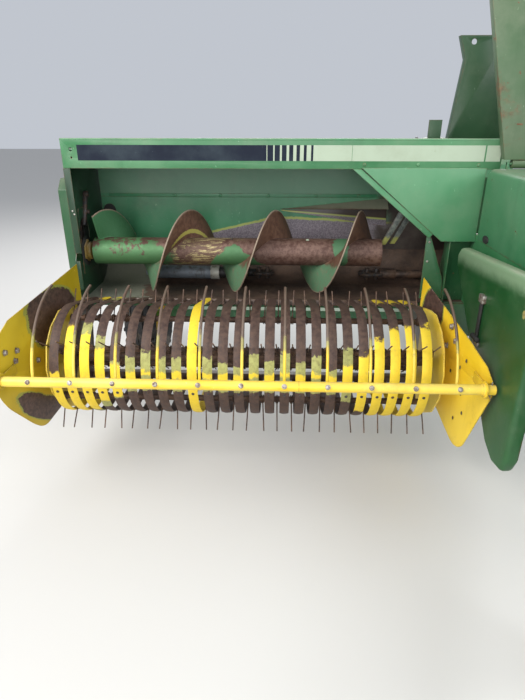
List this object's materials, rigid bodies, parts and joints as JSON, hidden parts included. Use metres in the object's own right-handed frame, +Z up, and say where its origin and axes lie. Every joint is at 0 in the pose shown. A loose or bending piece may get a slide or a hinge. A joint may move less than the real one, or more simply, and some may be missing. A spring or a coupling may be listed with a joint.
{
  "type": "small square baler",
  "caption": "Towed small square baler: pickup with stripper bands, auger house, bale case with knotters and chute, on two wheels with a swinging tongue.",
  "frame": {"origin": "on the ground under the middle of the machine's bounding box", "axes": "-Y towards the tractor, +X towards the bale case side, +Z up"},
  "size_m": [2.8494, 5.3262, 2.09],
  "materials": {
    "green_paint": "satin",
    "light_green_paint": "faded satin",
    "dark_green_paint": "satin",
    "yellow_paint": "worn satin",
    "band_paint": "yellow paint worn through to rust",
    "rusty_steel": "rust brown",
    "worn_steel": "worn and dull",
    "grey_steel": "dull",
    "red_paint": "dull grey",
    "tyre": "dusty rubber"
  },
  "bodies": {
    "machine": {"bale_case": "green_paint", "case_frame": "green_paint", "plunger": "grey_steel", "gearbox": "dark_green_paint", "tongue_mount": "green_paint", "axle": "green_paint", "back_sheet": "light_green_paint", "auger_floor": "rusty_steel", "end_plate": "green_paint", "house_frame": "dark_green_paint", "top_beam": "green_paint", "gusset_panel": "light_green_paint", "side_plate": "green_paint", "drive_shield": "green_paint", "auger_arm": "dark_green_paint", "feeder_fork": "green_paint", "feeder_hood": "dark_green_paint", "upper_shield": "light_green_paint", "side_shield": "light_green_paint", "driveline": "rusty_steel", "twine_box": "green_paint", "knotters": "grey_steel", "tension_screws": "grey_steel"},
    "flywheel": {"flywheel": "green_paint"},
    "tongue": {"tongue": "green_paint", "hitch": "grey_steel", "jack": "red_paint"},
    "wheel_left": {"wheel_left": "yellow_paint", "tyre_left": "tyre"},
    "wheel_right": {"wheel_right": "yellow_paint", "tyre_right": "tyre"},
    "auger": {"auger_tube": "worn_steel", "auger_flight": "rusty_steel"},
    "hood": {"hood_panel": "light_green_paint"},
    "pickup": {"pickup_frame": "yellow_paint", "flare_left": "yellow_paint", "flare_right": "yellow_paint", "bands": "band_paint"},
    "reel": {"reel": "rusty_steel"},
    "windguard": {"windguard": "yellow_paint", "guard_rods": "yellow_paint"},
    "lid": {"twine_lid": "green_paint"},
    "knotter_hood": {"knotter_hood": "light_green_paint"},
    "needle_yoke": {"needles": "yellow_paint"},
    "star_wheel": {"star_wheel": "grey_steel"},
    "chute": {"chute": "green_paint"}
  },
  "joints": [
    {"name": "flywheel_turn", "type": "hinge", "parent": "machine", "child": "flywheel", "pos_m": [0.92953, -1.06619, 0.905], "axis": [0, 1, 0], "continuous": true},
    {"name": "tongue_swing", "type": "hinge", "parent": "machine", "child": "tongue", "pos_m": [0.86953, -0.62089, 0.395], "axis": [0, 0, 1], "range_deg": [0, 18]},
    {"name": "wheel_left_roll", "type": "hinge", "parent": "machine", "child": "wheel_left", "pos_m": [1.31003, 1.03911, 0.35], "axis": [1, 0, 0], "continuous": true},
    {"name": "wheel_right_roll", "type": "hinge", "parent": "machine", "child": "wheel_right", "pos_m": [-1.17697, 1.03911, 0.35], "axis": [1, 0, 0], "continuous": true},
    {"name": "auger_turn", "type": "hinge", "parent": "machine", "child": "auger", "pos_m": [-0.00997, 0.29911, 0.969], "axis": [1, 0, 0], "continuous": true},
    {"name": "hood_fold", "type": "hinge", "parent": "machine", "child": "hood", "pos_m": [0.92953, 0.11911, 1.424], "axis": [1, 0, 0], "range_deg": [0, 84]},
    {"name": "pickup_lift", "type": "hinge", "parent": "machine", "child": "pickup", "pos_m": [-0.00997, 0.21911, 0.69], "axis": [1, 0, 0], "range_deg": [-3, 12]},
    {"name": "reel_turn", "type": "hinge", "parent": "pickup", "child": "reel", "pos_m": [-0.00997, -0.17889, 0.567], "axis": [1, 0, 0], "continuous": true},
    {"name": "windguard_lift", "type": "hinge", "parent": "pickup", "child": "windguard", "pos_m": [-0.00997, -0.56989, 0.628], "axis": [1, 0, 0], "range_deg": [0, 55]},
    {"name": "lid_open", "type": "hinge", "parent": "machine", "child": "lid", "pos_m": [0.12003, 0.65111, 1.27], "axis": [1, 0, 0], "range_deg": [0, 80]},
    {"name": "knotter_hood_open", "type": "hinge", "parent": "machine", "child": "knotter_hood", "pos_m": [0.92953, 0.98511, 1.157], "axis": [1, 0, 0], "range_deg": [0, 90]},
    {"name": "needle_stroke", "type": "hinge", "parent": "machine", "child": "needle_yoke", "pos_m": [0.92953, 0.67911, 0.913], "axis": [1, 0, 0], "range_deg": [0, 54]},
    {"name": "star_turn", "type": "hinge", "parent": "machine", "child": "star_wheel", "pos_m": [0.92953, 1.49911, 1.202], "axis": [1, 0, 0], "continuous": true},
    {"name": "chute_fold", "type": "hinge", "parent": "machine", "child": "chute", "pos_m": [0.92953, 2.18311, 0.721], "axis": [1, 0, 0], "range_deg": [0, 78]}
  ]
}
